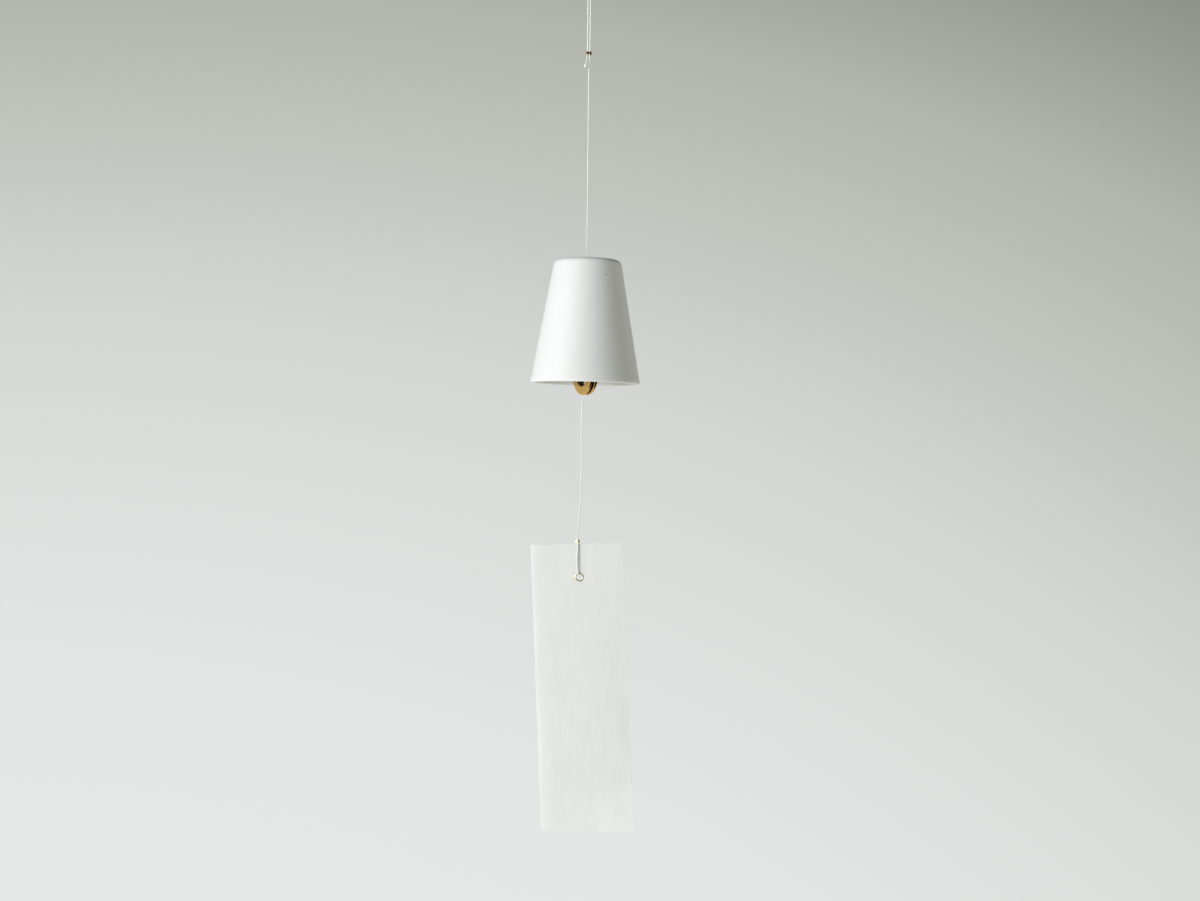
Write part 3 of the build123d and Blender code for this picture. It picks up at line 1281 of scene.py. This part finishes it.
# %% World
wall_low = (0.795, 0.81, 0.803)
wall_pale = (0.775, 0.791, 0.784)
wall_middle = (0.662, 0.685, 0.661)
wall_dim = (0.545, 0.562, 0.522)
wall_dark = (0.447, 0.462, 0.413)
wall_high = (0.275, 0.287, 0.25)
wall_stops = [
    (0.0, wall_low), (0.2, wall_pale), (0.54, wall_middle),
    (0.72, wall_dim), (0.86, wall_dark), (1.0, wall_high),
]
wall_rise = (-0.34, 0.34)
wall_sides = (-0.35, 0.35)
sideways = 0.3
sideways_curve = 0.4
sideways_twist = -0.6
fill_level = (0.95, 1.0, 0.88)
fill_floor = (1.01, 0.99, 0.89)
fill_stops = [(0.0, fill_level), (0.9, fill_floor)]
fill_above = 0.03
fill_below = 0.92
fill_ceiling = -0.65


def wall_gradient(tree, aside, rise):
    """The colour of the wall in a direction that points aside and up by the given shares."""
    aside = mapped(tree, aside, wall_sides, wall_sides)
    tilted = made_math(tree, "ADD", rise, times(tree, aside, sideways))
    curved = times(tree, times(tree, aside, aside), sideways_curve)
    twisted = times(tree, times(tree, aside, rise), sideways_twist)
    total = made_math(tree, "ADD", tilted, made_math(tree, "ADD", curved, twisted))
    return ramp_of(tree, mapped(tree, total, wall_rise, (0, 1)), wall_stops)


def make_world():
    """The pale gradient that is seen, and the soft fill that isn't."""
    world = bpy.data.worlds.new("room")
    world.use_nodes = True
    tree = world.node_tree
    tree.nodes.clear()
    aside, _, rise = parts_of(tree, tree.nodes.new("ShaderNodeTexCoord").outputs["Generated"])
    shown = add_node(tree, "ShaderNodeBackground", {"Color": wall_gradient(tree, aside, rise)})
    drop = times(tree, rise, -1)
    strength = mapped(tree, drop, (fill_ceiling, 1), (fill_above, fill_below))
    fill = {"Color": ramp_of(tree, drop, fill_stops), "Strength": strength}
    soft = add_node(tree, "ShaderNodeBackground", fill)
    ray = tree.nodes.new("ShaderNodeLightPath").outputs
    seen = made_math(tree, "MAXIMUM", ray["Is Camera Ray"], ray["Is Glossy Ray"])
    seen = made_math(tree, "MAXIMUM", seen, ray["Is Transmission Ray"])
    both = {"Fac": seen, 1: soft.outputs["Background"], 2: shown.outputs["Background"]}
    room = add_node(tree, "ShaderNodeMixShader", both)
    add_node(tree, "ShaderNodeOutputWorld", {"Surface": room.outputs["Shader"]})
    scene.world = world


make_world()

# %% [markdown]
# The window is an area lamp as wide as a real one, because the width of a light sets how soft the
# shaded edge on a round wall is. One weak lamp stands for the far end of the room, lifts the bell's
# right edge and is kept out of reflections. The floor is a pale disc far below, wide enough to show
# under the object from above and too low to show in the main picture. The fill stands for its light
# already, so the disc itself neither lights the object nor shows in the metal.

# %% Window, far wall and floor
window_azimuth = radians(-50)
window_distance = 1.7
window_size = (0.7, 1.3)
window_height = 0.02
window_power = 26.9
window_colour = (0.95, 0.96, 1.0)
far_azimuth = radians(112)
far_distance = 1.6
far_size = (1.2, 1.2)
far_height = -0.35
far_power = 4.1
far_colour = (1.0, 0.99, 0.93)
floor_height = -0.96
floor_radius = 1.4
floor_sides = 96
floor_colour = (0.8, 0.81, 0.8)
floor_roughness = 0.8
object_middle = Vector((0, 0, -0.25))


def beside_viewer(azimuth, distance, height):
    """A place at an azimuth that is counted from the viewer's side, to the right."""
    return Vector((sin(azimuth) * distance, -cos(azimuth) * distance, height))


def panel(name, place, size, power, colour):
    """A rectangle of light that faces the object."""
    data = bpy.data.lights.new(name, "AREA")
    data.shape = "RECTANGLE"
    data.size, data.size_y = size
    data.energy = power
    data.color = colour
    light = bpy.data.objects.new(name, data)
    light.location = place
    light.rotation_euler = (object_middle - place).to_track_quat("-Z", "Y").to_euler()
    scene.collection.objects.link(light)
    return light


window_place = beside_viewer(window_azimuth, window_distance, window_height)
panel("window", window_place, window_size, window_power, window_colour)
far_place = beside_viewer(far_azimuth, far_distance, far_height)
far_wall = panel("far_wall", far_place, far_size, far_power, far_colour)
far_wall.visible_glossy = False

floor_turns = [2 * pi * k / floor_sides for k in range(floor_sides)]
floor_points = [beside_viewer(turn, floor_radius, floor_height) for turn in floor_turns]
floor = mesh_piece("floor", floor_points, [tuple(range(floor_sides))], smooth=False)
floor.data.materials.append(new_finish("pale floor", floor_colour, floor_roughness)[0])
floor.visible_diffuse = False
floor.visible_glossy = False

# %% [markdown]
# Brass needs something dark to mirror, or it looks like yellow paint. A photographer hangs a black
# cloth for that. Here it is a part of a large sphere round the viewer's right, from well below the
# object to a little above it. It shows in reflections alone, and it also keeps some of the room's
# fill off the object's right side.

# %% Black cloth
cloth_radius = 2.2
cloth_from = radians(-24)
cloth_to = radians(122)
cloth_low = radians(-76)
cloth_high = radians(24)
cloth_columns = 28
cloth_rows = 18
cloth_colour = (0.03, 0.024, 0.018)
cloth_roughness = 0.9


def cloth_point(column, row):
    """The corner of the cloth's cells that a column and a row start at."""
    azimuth = cloth_from + (cloth_to - cloth_from) * column / cloth_columns
    rise = cloth_low + (cloth_high - cloth_low) * row / cloth_rows
    return object_middle + beside_viewer(azimuth, cloth_radius * cos(rise), cloth_radius * sin(rise))


cloth_points = [cloth_point(i, j) for i in range(cloth_columns + 1) for j in range(cloth_rows + 1)]
cloth_faces = []
for i in range(cloth_columns):
    for j in range(cloth_rows):
        corner = i * (cloth_rows + 1) + j
        cloth_faces.append((corner, corner + cloth_rows + 1, corner + cloth_rows + 2, corner + 1))
cloth = mesh_piece("black_cloth", cloth_points, cloth_faces)
cloth.data.materials.append(new_finish("black cloth", cloth_colour, cloth_roughness)[0])
cloth.visible_camera = False
cloth.visible_diffuse = False
cloth.visible_transmission = False
